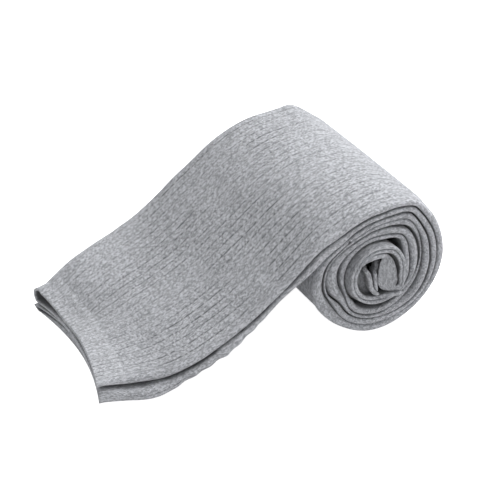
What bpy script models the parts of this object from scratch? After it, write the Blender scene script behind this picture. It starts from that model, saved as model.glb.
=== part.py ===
"""Pair of ribbed over-the-knee socks, laid one on the other and rolled up from the toes.

The roll's axis runs along Y. The loose welt ends leave the top of the roll and
slope down towards -X until they lie on the surface. Each sock is a flat tube: its
leg and foot are one solid, its welt another. All sizes are in metres, +Z is up.
"""
from collections import namedtuple
from math import copysign, cos, pi, radians, sin

import bmesh
import bpy
from mathutils import Vector

# ---- driving dimensions ----
COLLECTION = "over_the_knee_socks"
LEG_HALF_WIDTH = 0.0450        # flat half width of the leg
HEM_HALF_WIDTH = 0.0364        # flat half width at the welt's open end
WIDEN_END = 0.0510             # distance from the hem at which the full width is reached
WELT_DEPTH = 0.0125
UPPER_HEM = 0.0022             # the upper sock's hem lies this far back from the lower one's
LOWER_HEM = 0.0
WELT_PROUD = 0.00025           # how far the doubled welt stands above the leg
SEAM = 0.0005                  # gap between pieces that touch
PLY = 0.00125                  # one thickness of the knitted wall
PRESSED = 0.00250              # a flattened sock inside the roll, both walls together
PRESSED_SWING = 0.0003         # a little thicker on the +X side of the roll, thinner at -X
MOUTH_DEPTH = 0.0450           # how far in from the hem the sock still stands open

RIB_COUNT = 21                 # ribs across one face of the leg
WELT_RIB_COUNT = 34            # finer ribs across one face of the welt
RIB_HEIGHT = 0.00035
WELT_RIB_HEIGHT = 0.00020
PLAIN_SPANS = 4                # spans across a face that carries no ribs
FOLD_SPANS = 4                 # spans round the fold at each side of the tube

ROLL_X = 0.0003                # the roll's axis
# From the axis to the line between the socks, to the side and upwards, at each end.
Radii = namedtuple("Radii", "side up")
NEAR_RADII = Radii(0.0320, 0.0337)
FAR_RADII = Radii(0.0314, 0.0331)
PITCH = Radii(0.0060, 0.0067)  # how much a full turn draws those radii in
DRIFT = 0.0006                 # how far each turn's centre moves towards -X
TIGHTER = Radii(0.0018, 0.0010)  # the innermost turns are drawn in by this much more
TIGHTER_START = 900
TIGHTER_END = 1130
FLATTEN = 0.0013               # how much the roll's underside is pressed flat
NEAR_SAG = 0.055               # low on its -X side the roll is drawn in at the near end
FAR_SAG = -0.035               # and fuller at the far one
SAG_ANGLE = 222
SAG_POWER = 4
NEAR_LIFT = 0.0008             # the near end's underside tucks up by this much
STEP = 15                      # degrees between sections round the outer turns
INNER_STEP = 20                # and round the tighter turns inside
INNER_START = 720
UPPER_ROLL_END = 1500          # degrees turned at the toe of each sock
LOWER_ROLL_END = 1460
RIBS_END = 315                 # degrees at which the outer turn slips under the loose end

SLIDE = -0.0050                # the innermost turns stand out at the near end
SLIDE_START = 975
SLIDE_END = 1095

HEM_BOW = 0.0080               # the middle of the hem lies this far back from its corners
HEM_BOW_REACH = 0.0420
CROWN = 0.0010                 # the loose end's middle stands a little above its sides
CROWN_START = 0.0150           # distances from the hem between which that starts
CROWN_FULL = 0.0450
CROWN_FADE = (-0.0400, -0.0100)  # and the places along X between which it ends
CLOSE = 0.0010                 # sections nearer than this to a piece's end are left out

# How far the lower sock peeps out (-) on the near side, at distances from the hem.
Ledge = namedtuple("Ledge", "reach shift")
LEDGES = (
    Ledge(0.0000, 0.0000),
    Ledge(0.0220, -0.0040),
    Ledge(0.0370, -0.0011),
    Ledge(0.0490, -0.0012),
    Ledge(0.0570, -0.0024),
    Ledge(0.0720, -0.0012),
    Ledge(0.0880, 0.0000),
    Ledge(0.1060, -0.0014),
    Ledge(0.1300, 0.0000),
)
SCALLOP = 0.0008               # small waves in that side's edge
SCALLOP_LENGTH = 0.0078
SCALLOP_START = 0.0260
SCALLOP_END = 0.0800
LOWER_RIBS_START = 0.0330      # stretch of the lower sock's underside that shows ribs
LOWER_RIBS_END = 0.1080

# The loose end, from the hem to the top of the roll. seam_near and seam_far are the
# heights of the line between the two socks at the near (-Y) and far (+Y) side.
Section = namedtuple("Section", "x seam_near seam_far")
LOOSE_END = (
    Section(-0.1288, 0.0063, 0.0048),
    Section(-0.1264, 0.0063, 0.0052),
    Section(-0.1200, 0.0062, 0.0075),
    Section(-0.1148, 0.0062, 0.0108),
    Section(-0.1070, 0.0063, 0.0145),
    Section(-0.0986, 0.0076, 0.0169),
    Section(-0.0866, 0.0126, 0.0206),
    Section(-0.0797, 0.0160, 0.0243),
    Section(-0.0728, 0.0195, 0.0286),
    Section(-0.0634, 0.0249, 0.0361),
    Section(-0.0544, 0.0312, 0.0437),
    Section(-0.0454, 0.0381, 0.0502),
    Section(-0.0360, 0.0466, 0.0572),
    Section(-0.0266, 0.0552, 0.0621),
    Section(-0.0171, 0.0614, 0.0651),
    Section(-0.0077, 0.0648, 0.0657),
)
UPPER_SPLITS = 2               # sections made between two rows of the table
LOWER_SPLITS = 3

# Thickness of each sock where it lies slack at the hem, and where it is fully pressed.
Slack = namedtuple("Slack", "near far")
UPPER_SLACK = Slack(0.0046, 0.0074)
LOWER_SLACK = Slack(0.0062, 0.0050)
SLACK_START = 0.0200           # distances from the hem between which it gets pressed
SLACK_END = 0.0800
FAR_LIFT_POWER = 1.8           # at the hem the lift is kept to the far side

GREY = (0.36, 0.365, 0.38, 1.0)
WELT_GREY = (0.42, 0.425, 0.44, 1.0)
CLOTH_ROUGHNESS = 0.95

Station = namedtuple("Station", "near far near_out far_out reach turned")


# ---- small helpers ----
def mix(a, b, t):
    return a + (b - a) * t


def ease(value, start, end):
    """0 before start, 1 after end, smooth between."""
    t = min(max((value - start) / (end - start), 0.0), 1.0)
    return t * t * (3.0 - 2.0 * t)


def spline(before, start, end, after, t):
    """Catmull-Rom curve from start to end."""
    return 0.5 * (2 * start + (end - before) * t
                  + (2 * before - 5 * start + 4 * end - after) * t * t
                  + (3 * start - before - 3 * end + after) * t * t * t)


# ---- the line between the two socks ----
def drawn_in(angle, sag):
    """Share of the full radius that is left where the roll sags."""
    return 1 - sag * max(0.0, cos(angle - radians(SAG_ANGLE))) ** SAG_POWER


def roll_point(turned, radii, sag, lift):
    """Point of the roll's spiral, after so many degrees from the top towards +X."""
    turns = turned / 360
    angle = radians(turned)
    tighter = ease(turned, TIGHTER_START, TIGHTER_END)
    axis_x = ROLL_X - DRIFT * turns - TIGHTER.side * tighter
    axis_z = (radii.up - PITCH.up / 2) * drawn_in(pi, sag) + PRESSED + SEAM / 2
    axis_z += lift - FLATTEN
    aside = (radii.side - PITCH.side * turns - TIGHTER.side * tighter) * sin(angle)
    rise = (radii.up - PITCH.up * turns - TIGHTER.up * tighter) * cos(angle)
    left = drawn_in(angle, sag)
    return Vector((axis_x + aside * left, 0, axis_z + rise * left))


def near_roll(turned):
    return roll_point(turned, NEAR_RADII, NEAR_SAG, NEAR_LIFT)


def far_roll(turned):
    return roll_point(turned, FAR_RADII, FAR_SAG, 0.0)


def loose_points(splits):
    """Near and far points of the loose end, with extra sections between the table's rows."""
    near = [Vector((row.x, 0, row.seam_near)) for row in LOOSE_END]
    far = [Vector((row.x, 0, row.seam_far)) for row in LOOSE_END]
    near.append(near_roll(0))
    far.append(far_roll(0))
    pairs = []
    for i in range(len(near) - 1):
        before = max(i - 1, 0)
        after = min(i + 2, len(near) - 1)
        for k in range(splits):
            t = k / splits
            pairs.append(tuple(spline(line[before], line[i], line[i + 1], line[after], t)
                               for line in (near, far)))
    return pairs


def outward(points, i):
    """Unit normal of a line of points, away from the roll's axis and up on the loose end."""
    run = points[min(i + 1, len(points) - 1)] - points[max(i - 1, 0)]
    return Vector((-run.z, 0, run.x)).normalized()


def stations(last_degree, splits):
    """Every section from the hem to the toe."""
    pairs = loose_points(splits)
    turned = [None] * len(pairs)
    outer_turns = list(range(0, min(last_degree, INNER_START) + 1, STEP))
    inner_turns = list(range(INNER_START + INNER_STEP, last_degree + 1, INNER_STEP))
    for degree in outer_turns + inner_turns:
        pairs.append((near_roll(degree), far_roll(degree)))
        turned.append(degree)
    near = [pair[0] for pair in pairs]
    far = [pair[1] for pair in pairs]
    reach = 0.0
    made = []
    for i in range(len(pairs)):
        if i:
            reach += ((near[i] - near[i - 1]).length + (far[i] - far[i - 1]).length) / 2
        made.append(Station(near[i], far[i], outward(near, i), outward(far, i), reach, turned[i]))
    return made


def station_at(line, reach):
    """A section at an exact distance from the hem."""
    for a, b in zip(line, line[1:]):
        if a.reach <= reach <= b.reach:
            t = (reach - a.reach) / (b.reach - a.reach)
            return Station(a.near.lerp(b.near, t), a.far.lerp(b.far, t),
                           a.near_out.lerp(b.near_out, t), a.far_out.lerp(b.far_out, t),
                           reach, a.turned)
    raise ValueError("no section at that distance")


# ---- sizes that change along a sock ----
def half_width(station):
    return mix(HEM_HALF_WIDTH, LEG_HALF_WIDTH, ease(station.reach, 0, WIDEN_END))


def thickness(station, slack, side):
    """Flattened tube's thickness; side runs from 0 at the near edge to 1 at the far one."""
    pressed = PRESSED
    if station.turned is not None:
        pressed += PRESSED_SWING * sin(radians(station.turned))
    loose = mix(slack.near, slack.far, side)
    return mix(loose, pressed, ease(station.reach, SLACK_START, SLACK_END))


def slide(station):
    if station.turned is None:
        return 0.0
    return SLIDE * ease(station.turned, SLIDE_START, SLIDE_END)


def near_edge_shift(station):
    """Sideways shift of the lower sock's near edge."""
    out = LEDGES[0].shift
    for a, b in zip(LEDGES, LEDGES[1:]):
        out += (b.shift - a.shift) * ease(station.reach, a.reach, b.reach)
    if SCALLOP_START < station.reach < SCALLOP_END:
        fade = ease(station.reach, SCALLOP_START, SCALLOP_START + SCALLOP_LENGTH)
        fade *= 1 - ease(station.reach, SCALLOP_END - SCALLOP_LENGTH, SCALLOP_END)
        out += SCALLOP * fade * sin(2 * pi * (station.reach - SCALLOP_START) / SCALLOP_LENGTH)
    return out


# ---- one section of a flattened tube ----
def place(station, across, height, shift):
    """Point at a distance across from the middle and a height above the line between socks."""
    width = half_width(station)
    local = across + shift * (1 - across / width) / 2
    side = (local / width + 1) / 2
    power = mix(FAR_LIFT_POWER, 1.0, ease(station.reach, 0, SLACK_END))
    side = copysign(abs(side) ** power, side)
    base = station.near.lerp(station.far, side)
    out = station.near_out.lerp(station.far_out, side).normalized()
    arch = max(1 - (local / width) ** 2, 0.0)
    loose = 0.0 if station.turned is not None else 1 - ease(station.near.x, *CROWN_FADE)
    resting = ease(station.reach, CROWN_START, CROWN_FULL)
    crown = CROWN * loose * resting * arch
    bow = HEM_BOW * arch * (1 - ease(station.reach, 0, HEM_BOW_REACH))
    spot = base + out * (height + crown)
    return Vector((spot.x + bow, local + slide(station), max(spot.z, 0.0)))


def tube_section(station, is_upper, slack, spans, ribs, rise, inset):
    """Closed loop of points: over the top face from near to far, back under the lower face.

    spans gives the spans across the (top, bottom) face; ribs the height of the ribs on
    each of them; rise moves both outer faces out; inset moves the whole loop inwards.
    """
    width = half_width(station) - inset
    loop = []
    shift = 0.0 if is_upper else near_edge_shift(station)

    def levels(side):
        thick = thickness(station, slack, side)
        if is_upper:
            return SEAM / 2 + inset, SEAM / 2 + thick - inset + rise
        return -SEAM / 2 - thick + inset - rise, -SEAM / 2 - inset

    def fold(at_far):
        side = 1.0 if at_far else 0.0
        low, high = levels(side)
        radius = (high - low) / 2
        sign = 1 if at_far else -1
        for k in range(FOLD_SPANS + 1):
            angle = pi / 2 - pi * k / FOLD_SPANS
            if not at_far:
                angle = -angle
            across = sign * (width - radius + radius * cos(angle))
            loop.append(place(station, across, (low + high) / 2 + radius * sin(angle), shift))

    def face(is_top):
        count = spans[0] if is_top else spans[1]
        height = ribs[0] if is_top else ribs[1]
        low_n, high_n = levels(0.0)
        low_f, high_f = levels(1.0)
        start = -(width - (high_n - low_n) / 2)
        end = width - (high_f - low_f) / 2
        for k in range(1, count):
            part = k / count if is_top else 1 - k / count
            across = mix(start, end, part)
            low, high = levels(part)
            lift = height if k % 2 else 0.0
            level = high + lift if is_top else low - lift
            loop.append(place(station, across, level, shift))

    face(True)
    fold(True)
    face(False)
    fold(False)
    return loop[-1:] + loop[:-1]


# ---- meshes ----
def join_strips(mesh, first, second):
    """Faces between two open runs of points, which may have different numbers of spans."""
    last_a = len(first) - 1
    last_b = len(second) - 1
    a = 0
    b = 0
    while a < last_a or b < last_b:
        if a < last_a and b < last_b and last_a == last_b:
            mesh.faces.new((first[a], first[a + 1], second[b + 1], second[b]))
            a += 1
            b += 1
        elif b == last_b or (a < last_a and (a + 0.5) * last_b <= (b + 0.5) * last_a):
            mesh.faces.new((first[a], first[a + 1], second[b]))
            a += 1
        else:
            mesh.faces.new((first[a], second[b + 1], second[b]))
            b += 1


def runs(loop, spans):
    """A section's loop cut into its top face, far fold, bottom face and near fold."""
    cut = []
    start = 0
    for count in (spans[0], FOLD_SPANS, spans[1], FOLD_SPANS):
        cut.append([loop[(start + k) % len(loop)] for k in range(count + 1)])
        start += count
    return cut


def join_loops(mesh, first, second, first_spans, second_spans):
    for run_a, run_b in zip(runs(first, first_spans), runs(second, second_spans)):
        join_strips(mesh, run_a, run_b)


def cap_loop(mesh, loop):
    """Flat end across a tube section, as a fan round its middle."""
    middle = mesh.verts.new(sum((v.co for v in loop), Vector()) / len(loop))
    for k in range(len(loop)):
        mesh.faces.new((loop[k], loop[(k + 1) % len(loop)], middle))


def cloth_material(name, colour):
    material = bpy.data.materials.new(name)
    material.use_nodes = True
    shader = material.node_tree.nodes["Principled BSDF"]
    shader.inputs["Base Color"].default_value = colour
    shader.inputs["Roughness"].default_value = CLOTH_ROUGHNESS
    shader.inputs["Metallic"].default_value = 0.0
    return material


def solid(name, outer, inner, through, colour):
    """Closed solid between outer and inner sections; through leaves both ends open."""
    mesh = bmesh.new()
    outside = [([mesh.verts.new(p) for p in loop], spans) for loop, spans in outer]
    inside = [([mesh.verts.new(p) for p in loop], spans) for loop, spans in inner]
    joints = list(zip(outside, outside[1:])) + list(zip(inside, inside[1:]))
    joints.append((outside[0], inside[0]))
    if through:
        joints.append((outside[-1], inside[-1]))
    for (loop_a, spans_a), (loop_b, spans_b) in joints:
        join_loops(mesh, loop_a, loop_b, spans_a, spans_b)
    if not through:
        cap_loop(mesh, outside[-1][0])
        cap_loop(mesh, inside[-1][0])
    bmesh.ops.triangulate(mesh, faces=[f for f in mesh.faces if len(f.verts) > 3])
    bmesh.ops.recalc_face_normals(mesh, faces=mesh.faces)
    data = bpy.data.meshes.new(name)
    mesh.to_mesh(data)
    mesh.free()
    data.shade_smooth()
    item = bpy.data.objects.new(name, data)
    data.materials.append(cloth_material(name, colour))
    bpy.data.collections[COLLECTION].objects.link(item)
    return item


# ---- the socks ----
def leg_style(station, is_upper):
    """Spans and rib heights of a leg's two faces at a section."""
    ribbed = 2 * RIB_COUNT
    if is_upper and (station.turned is None or station.turned <= RIBS_END):
        return (ribbed, PLAIN_SPANS), (RIB_HEIGHT, 0.0)
    if not is_upper and LOWER_RIBS_START < station.reach < LOWER_RIBS_END:
        return (PLAIN_SPANS, ribbed), (0.0, RIB_HEIGHT)
    return (PLAIN_SPANS, PLAIN_SPANS), (0.0, 0.0)


def plain_lining(station, is_upper, slack):
    """Section of the hollow inside a sock, one wall's thickness in from its faces."""
    spans = (PLAIN_SPANS, PLAIN_SPANS)
    return tube_section(station, is_upper, slack, spans, (0.0, 0.0), 0.0, PLY), spans


def make_leg(name, is_upper, slack, last_degree):
    line = stations(last_degree, UPPER_SPLITS if is_upper else LOWER_SPLITS)
    start = (UPPER_HEM if is_upper else LOWER_HEM) + WELT_DEPTH + SEAM
    body = [station_at(line, start)] + [s for s in line if s.reach > start + CLOSE]
    outer = []
    for station in body:
        spans, ribs = leg_style(station, is_upper)
        outer.append((tube_section(station, is_upper, slack, spans, ribs, 0.0, 0.0), spans))
    inner = [plain_lining(s, is_upper, slack) for s in body if s.reach <= MOUTH_DEPTH]
    return solid(name, outer, inner, False, GREY)


def make_welt(name, is_upper, slack):
    line = stations(STEP, LOWER_SPLITS)
    start = UPPER_HEM if is_upper else LOWER_HEM
    body = [s for s in line if start + CLOSE < s.reach < start + WELT_DEPTH - CLOSE]
    body = [station_at(line, start)] + body + [station_at(line, start + WELT_DEPTH)]
    ribbed = 2 * WELT_RIB_COUNT if is_upper else PLAIN_SPANS
    spans = (ribbed, PLAIN_SPANS)
    ribs = (WELT_RIB_HEIGHT if is_upper else 0.0, 0.0)
    outer = [(tube_section(s, is_upper, slack, spans, ribs, WELT_PROUD, 0.0), spans)
             for s in body]
    inner = [plain_lining(s, is_upper, slack) for s in body]
    return solid(name, outer, inner, True, WELT_GREY)


def centre_on_origin(items):
    """Move everything so that the box's bottom centre is the origin."""
    points = [vertex.co for item in items for vertex in item.data.vertices]
    middle_x = (min(p.x for p in points) + max(p.x for p in points)) / 2
    middle_y = (min(p.y for p in points) + max(p.y for p in points)) / 2
    floor = min(p.z for p in points)
    for item in items:
        item.location = (-middle_x, -middle_y, -floor)


def main():
    for item in list(bpy.data.objects):
        bpy.data.objects.remove(item)
    collection = bpy.data.collections.new(COLLECTION)
    bpy.context.scene.collection.children.link(collection)
    items = [
        make_leg("upper_sock_leg", True, UPPER_SLACK, UPPER_ROLL_END),
        make_welt("upper_sock_welt", True, UPPER_SLACK),
        make_leg("lower_sock_leg", False, LOWER_SLACK, LOWER_ROLL_END),
        make_welt("lower_sock_welt", False, LOWER_SLACK),
    ]
    centre_on_origin(items)


main()
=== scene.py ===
"""Looks for a pair of ribbed over-the-knee socks, laid together and rolled up from the toes.

The pieces follow the same spiral as the solids that they replace, more finely: ribs with
broken grooves, puffed folds at the roll's near end and the toes tucked into its middle.
All sizes are in metres. Laid-out places are in the roll's own frame, whose axis is near
x = 0, and are moved to the part's frame at the end.
"""
from collections import namedtuple
from copy import copy
from math import cos, pi, radians, sin

import bpy
import numpy as np
from mathutils import Matrix, Vector


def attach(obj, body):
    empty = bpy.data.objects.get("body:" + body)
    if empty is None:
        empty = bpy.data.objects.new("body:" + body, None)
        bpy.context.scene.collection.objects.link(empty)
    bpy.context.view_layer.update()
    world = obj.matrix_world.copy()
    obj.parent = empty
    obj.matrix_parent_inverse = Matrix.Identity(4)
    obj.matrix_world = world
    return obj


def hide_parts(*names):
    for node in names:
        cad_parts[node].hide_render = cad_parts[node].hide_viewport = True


bl_info = {
    "name": "Rolled Over-the-Knee Socks",
    "version": (1, 0, 0),
    "blender": (4, 5, 0),
    "location": "3D View > Sidebar > Socks",
    "description": "Builds a rolled pair of ribbed over-the-knee socks with its knit and stage",
    "category": "Add Mesh",
}

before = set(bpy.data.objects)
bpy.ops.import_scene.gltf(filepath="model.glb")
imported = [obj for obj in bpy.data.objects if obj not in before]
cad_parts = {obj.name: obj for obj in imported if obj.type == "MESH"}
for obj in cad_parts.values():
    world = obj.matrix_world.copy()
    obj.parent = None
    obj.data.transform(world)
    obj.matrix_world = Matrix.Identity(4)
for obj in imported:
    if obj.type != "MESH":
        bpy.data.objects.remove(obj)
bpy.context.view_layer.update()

# ---- the spiral, as the solids have it ----
LEG_HALF_WIDTH = 0.0450        # flat half width of the leg
HEM_HALF_WIDTH = 0.0364        # flat half width at the welt's open end
WIDEN_END = 0.0510             # distance from the hem at which the full width is reached
WELT_DEPTH = 0.0125
WELT_PROUD = 0.00025           # how far the doubled welt stands above the leg
WELT_PROUD_EASE = 0.0030       # and over what length it comes down to the leg
WELT_JOINT = 0.00003           # between the welt and the leg
UPPER_HEM = 0.0022             # the upper sock's hem lies this far back from the lower one's
SEAM = 0.0005                  # gap between the socks
PLY = 0.00095                  # one thickness of the knitted wall
PRESSED = 0.00250              # a flattened sock inside the roll, both walls together
PRESSED_SWING = 0.0003         # a little thicker on the +X side of the roll, thinner at -X
MOUTH_DEPTH = 0.0450           # how far in from the hem the sock still stands open
ROLL_X = 0.0003                # the roll's axis
Radii = namedtuple("Radii", "side up")
NEAR_RADII = Radii(0.0320, 0.0337)
FAR_RADII = Radii(0.0314, 0.0331)
PITCH = Radii(0.0060, 0.0067)  # how much a full turn draws those radii in
DRIFT = 0.0006                 # how far each turn's centre moves towards -X
TIGHTER = Radii(0.0018, 0.0010)  # the innermost turns are drawn in by this much more
TIGHTER_SPAN = (900, 1130)     # over these degrees turned
FLATTEN = 0.0013               # how much the roll's underside is pressed flat
NEAR_SAG = 0.055               # low on its -X side the roll is drawn in at the near end
FAR_SAG = -0.035               # and fuller at the far one
SAG_ANGLE = 222
SAG_POWER = 4
NEAR_LIFT = 0.0008             # the near end's underside tucks up by this much
CROWN = 0.0010                 # the loose end's middle stands a little above its sides
CROWN_SPAN = (0.0150, 0.0450)  # distances from the hem between which that starts
CROWN_FADE = (-0.0400, -0.0100)  # and the places along X between which it ends
SLACK_SPAN = (0.0200, 0.0800)  # distances from the hem between which the socks flatten
FAR_LIFT_POWER = 1.8           # how late across the loose end its far side rises
SHIFT = Vector((0.04737, 0.00250, 0.0))  # from the roll's own frame to the part's

# ---- the hems; each reach is a distance from the hem ----
BySock = namedtuple("BySock", "lower upper")
MOUTH_CLOSED = BySock(0.60, 0.22)  # share of the mouth that the lower ply rises to close
CLOSED_POWER = BySock(4, 1)    # and how late across it comes down to the far corner
HEM_BOW_REACH = 0.0420
LOWER_BOW = 0.0062             # the middle of the hem lies this far back from its corners
UPPER_BOW = (0.0038, 0.0050)   # the same for the upper sock's lower and upper ply
NEAR_CORNER = 0.0024           # the line between the socks rises to the near corner
NEAR_CORNER_REACH = 0.018
CORNER_LIFT = 0.0020           # and the upper sock's upper ply to the far one
CORNER_LIFT_REACH = 0.012
HEM_SKEW = (-0.0004, 0.0030)   # how far the upper hem's far and near corners come out
HEM_SKEW_REACH = 0.03
LOWER_SKEW = 0.0012            # the lower hem's far corner lies back by this much
CORNER_OUT = 0.0020            # and the upper sock's lower ply comes out to close the notch there
LOWER_CORNER_OUT = 0.0004      # as does the lower sock's upper ply
FAR_CORNER_REACH = 0.02
HEM_DIP = 0.0012               # the upper sock's upper ply lies lower between the corners
HEM_HOLLOW = 0.0027            # and lower still in one hollow
HEM_HOLLOW_AT = (0.0135, 0.0130)  # whose place across and width are these
HEM_DIP_REACH = 0.035
HEM_GAP = 0.0006               # the socks stand apart along the near edge, each by this much
HEM_GAP_SPAN = (0.0010, 0.0060, 0.0180, 0.0280)  # at these distances from the hem
FAR_SQUARE = 0.30              # the folds press squarely on each other at the far corner

# How far the lower sock's near edge is shifted sideways, at distances from the hem.
Ledge = namedtuple("Ledge", "reach shift")
LEDGES = (
    Ledge(0.0000, -0.0015), Ledge(0.0220, -0.0042), Ledge(0.0370, -0.0011),
    Ledge(0.0490, -0.0012), Ledge(0.0570, -0.0024), Ledge(0.0720, -0.0012),
    Ledge(0.0880, 0.0000), Ledge(0.1060, -0.0014), Ledge(0.1300, 0.0000),
)
SCALLOP = 0.0003               # height of the small waves along it
SCALLOP_LENGTH = 0.0078
SCALLOP_SPAN = (0.0260, 0.0800)  # distances from the hem between which they show

# The line between the two socks along the loose end: its heights on the near and far side.
Section = namedtuple("Section", "x near far")
LOOSE_END = (
    Section(-0.1288, 0.0063, 0.0048), Section(-0.1264, 0.0063, 0.0052),
    Section(-0.1200, 0.0062, 0.0075), Section(-0.1148, 0.0062, 0.0108),
    Section(-0.1070, 0.0063, 0.0145), Section(-0.0986, 0.0076, 0.0169),
    Section(-0.0866, 0.0126, 0.0206), Section(-0.0797, 0.0160, 0.0243),
    Section(-0.0728, 0.0195, 0.0286), Section(-0.0634, 0.0249, 0.0361),
    Section(-0.0544, 0.0312, 0.0437), Section(-0.0454, 0.0381, 0.0502),
    Section(-0.0360, 0.0466, 0.0572), Section(-0.0266, 0.0552, 0.0621),
    Section(-0.0171, 0.0614, 0.0651), Section(-0.0077, 0.0648, 0.0657),
)
# How thick each sock lies at the hem.
Slack = namedtuple("Slack", "near far")
UPPER_SLACK = Slack(0.0046, 0.0074)
LOWER_SLACK = Slack(0.0062, 0.0050)

# The far end's top is a little peaked: lift along x.
Swell = namedtuple("Swell", "x wide lift")
PEAK = (Swell(0.0030, 0.0070, 0.0026), Swell(0.0170, 0.0080, -0.0010))
PEAK_END = 60                  # degrees turned

# ---- the roll's near end: how far from its middle the folds lie, in millimetres ----
# middle is the line between the socks, outer the upper sock's outer face.
CORE = Vector((0.0003, 0.0312))  # the middle, along X and up
Turn = namedtuple("Turn", "turned middle outer")
NEAR_END = (
    Turn(0, 30.3, 34.6), Turn(15, 32.0, 35.6), Turn(28, 33.0, 36.1), Turn(38, 31.7, 35.0),
    Turn(50, 30.6, 34.1), Turn(62, 30.1, 33.6), Turn(77, 29.9, 33.5), Turn(92, 29.9, 33.7),
    Turn(106, 30.1, 33.4), Turn(121, 29.8, 32.9), Turn(150, 28.3, 32.2), Turn(180, 27.2, 31.4),
    Turn(195, 26.7, 30.4), Turn(210, 26.1, 29.5), Turn(225, 25.5, 29.7), Turn(238, 25.1, 30.5),
    Turn(253, 25.9, 32.0), Turn(268, 28.2, 33.2), Turn(282, 29.4, 33.2), Turn(292, 29.7, 32.6),
    Turn(299, 29.1, 31.6), Turn(306, 28.0, 30.3), Turn(320, 26.3, 28.6), Turn(330, 25.5, 27.9),
    Turn(345, 25.2, 27.7), Turn(362, 25.3, 27.8),
    Turn(370, 25.7, 28.3), Turn(376, 26.2, 29.2), Turn(388, 26.8, 29.9), Turn(398, 25.9, 28.5),
    Turn(408, 24.8, 27.4), Turn(423, 23.5, 26.8), Turn(442, 22.6, 26.4), Turn(453, 22.4, 26.8),
    Turn(467, 22.8, 27.2), Turn(481, 23.3, 27.6), Turn(497, 23.4, 27.3), Turn(510, 22.8, 26.2),
    Turn(524, 22.2, 25.0), Turn(540, 21.9, 23.9), Turn(555, 21.6, 23.3), Turn(570, 21.2, 22.9),
    Turn(585, 20.4, 22.4), Turn(597, 19.3, 21.9), Turn(604, 18.8, 22.2), Turn(612, 18.7, 23.5),
    Turn(622, 19.2, 25.8), Turn(630, 20.1, 27.1), Turn(638, 20.9, 28.2), Turn(649, 21.9, 28.9),
    Turn(657, 22.3, 28.3), Turn(664, 22.2, 27.2), Turn(675, 21.6, 25.4), Turn(690, 20.9, 23.9),
    Turn(706, 20.0, 23.2), Turn(722, 19.1, 23.0), Turn(738, 19.2, 23.2), Turn(753, 19.3, 23.3),
    Turn(768, 18.0, 22.3), Turn(783, 16.4, 21.5), Turn(798, 15.8, 20.9), Turn(813, 15.8, 20.6),
    Turn(827, 16.6, 20.2), Turn(842, 17.0, 19.6), Turn(870, 15.0, 18.1), Turn(898, 13.6, 16.7),
    Turn(926, 13.2, 15.8), Turn(960, 13.9, 16.1), Turn(975, 14.6, 16.8), Turn(990, 15.3, 17.5),
    Turn(1005, 16.0, 18.2), Turn(1020, 16.4, 18.6), Turn(1034, 16.6, 18.8), Turn(1048, 16.3, 18.6),
    Turn(1067, 15.1, 17.5), Turn(1080, 14.2, 16.6), Turn(1100, 13.0, 15.2), Turn(1113, 12.0, 14.0),
    Turn(1127, 11.0, 12.9), Turn(1142, 10.3, 12.2), Turn(1156, 10.0, 11.9), Turn(1170, 9.8, 11.9),
    Turn(1185, 9.9, 12.1), Turn(1196, 10.8, 13.0), Turn(1208, 11.9, 14.0), Turn(1218, 12.2, 14.2),
    Turn(1232, 11.0, 13.0), Turn(1250, 9.0, 11.0), Turn(1290, 8.2, 10.4), Turn(1340, 8.6, 10.8),
    Turn(1400, 8.0, 10.2), Turn(1500, 3.4, 5.8),
)
# Room left between one turn's outer face and the turn outside it, in millimetres.
Room = namedtuple("Room", "turned gap")
ROOM = (
    Room(0, 0.5), Room(300, 0.5), Room(360, 0.7), Room(400, 0.7), Room(440, 0.9),
    Room(480, 0.6), Room(520, 0.35), Room(570, 0.4), Room(620, 1.0), Room(660, 1.0),
    Room(700, 0.6),
    Room(740, 0.9), Room(800, 1.5), Room(850, 1.3), Room(900, 1.5), Room(960, 1.8),
    Room(1010, 1.0), Room(1080, 0.8), Room(1500, 0.8),
)
# Thickest that the lower sock's folds get there, in millimetres.
Most = namedtuple("Most", "turned thick")
LOWER_MOST = (
    Most(0, 3.1), Most(120, 3.1), Most(180, 3.6), Most(240, 3.1), Most(660, 3.1), Most(700, 2.4),
    Most(722, 1.8), Most(738, 1.5), Most(750, 1.8), Most(764, 3.2), Most(880, 3.1),
    Most(950, 1.8), Most(1230, 1.6), Most(1500, 2.2),
)
# How far folds are pressed together so that no gap and no painted shade line shows, from 0 to 1:
# sock to sock, and each turn to the turn outside it.
Pressed = namedtuple("Pressed", "turned socks turns")
TOGETHER = (
    Pressed(0, 0.0, 0.0), Pressed(105, 0.1, 0.0), Pressed(138, 1.0, 0.0), Pressed(225, 1.0, 0.0),
    Pressed(245, 0.3, 0.0), Pressed(290, 0.1, 0.0), Pressed(312, 0.7, 0.0), Pressed(330, 0.95, 0.3),
    Pressed(385, 0.95, 0.3), Pressed(408, 0.6, 0.0), Pressed(440, 0.2, 0.0), Pressed(478, 0.3, 0.0),
    Pressed(500, 0.9, 0.8), Pressed(530, 0.95, 0.9), Pressed(555, 0.6, 0.5), Pressed(590, 0.5, 0.2),
    Pressed(606, 0.3, 0.0), Pressed(640, 0.0, 0.0), Pressed(665, 0.5, 0.2), Pressed(690, 0.8, 0.0),
    Pressed(740, 0.7, 0.0), Pressed(765, 0.3, 0.0), Pressed(800, 0.0, 0.0), Pressed(850, 0.4, 0.0),
    Pressed(930, 0.9, 0.0), Pressed(1500, 0.9, 0.0),
)
PUFFED = 0.0130                # the folds of the near end settle into the even spiral over this
LOWER_LEAST = 0.0006           # the lower sock's folds get no thinner than this
JOINING = (-0.0350, -0.0190)   # where along the floor the loose end settles onto those folds
UNDER_PUFF = 0.0015            # the lower sock is fuller just before that
UNDER_PUFF_SPAN = (-0.046, -0.030, -0.024, -0.012)  # places along X
LOWER_BACK = 0.0016            # the lower sock's folds lie back a little where they are thin
LOWER_BACK_SPAN = (385, 430, 490, 530)  # degrees turned
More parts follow.
